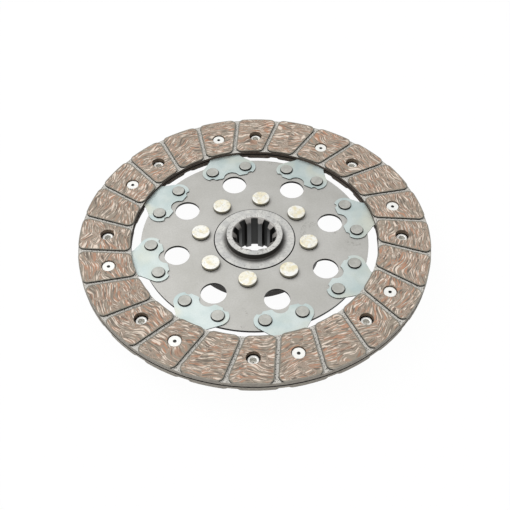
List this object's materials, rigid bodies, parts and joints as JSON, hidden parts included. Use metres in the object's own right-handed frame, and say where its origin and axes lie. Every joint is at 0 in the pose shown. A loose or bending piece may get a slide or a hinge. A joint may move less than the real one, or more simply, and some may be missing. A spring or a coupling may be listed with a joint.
{
  "type": "clutch disc",
  "caption": "Rigid clutch disc: splined hub riveted to a flat drive plate, with cushion segments carrying two grooved friction facings.",
  "frame": {"origin": "on the hub's axis, in the upper face of the drive plate", "axes": "+Z along the hub's axis towards its short neck, +X through the middle of a plate window"},
  "size_m": [0.2286, 0.2286, 0.0264],
  "materials": {
    "hub_steel": "machined neck face, dull bore",
    "plate_steel": "satin rolled sheet",
    "plated_rivet": "yellow zinc plated",
    "segment_steel": "blue zinc plated spring steel",
    "plain_rivet": "plain steel, satin",
    "facing": "moulded organic friction lining with yarn and brass wire",
    "tubular_rivet": "bright"
  },
  "bodies": {
    "root": {"hub": "hub_steel", "drive_plate": "plate_steel", "hub_rivets": "plated_rivet", "cushion_segment_1": "segment_steel", "cushion_segment_2": "segment_steel", "cushion_segment_3": "segment_steel", "cushion_segment_4": "segment_steel", "cushion_segment_5": "segment_steel", "cushion_segment_6": "segment_steel", "cushion_segment_7": "segment_steel", "cushion_segment_8": "segment_steel", "segment_rivets": "plain_rivet", "upper_facing": "facing", "lower_facing": "facing", "upper_facing_rivets": "tubular_rivet", "lower_facing_rivets": "tubular_rivet"}
  },
  "joints": []
}
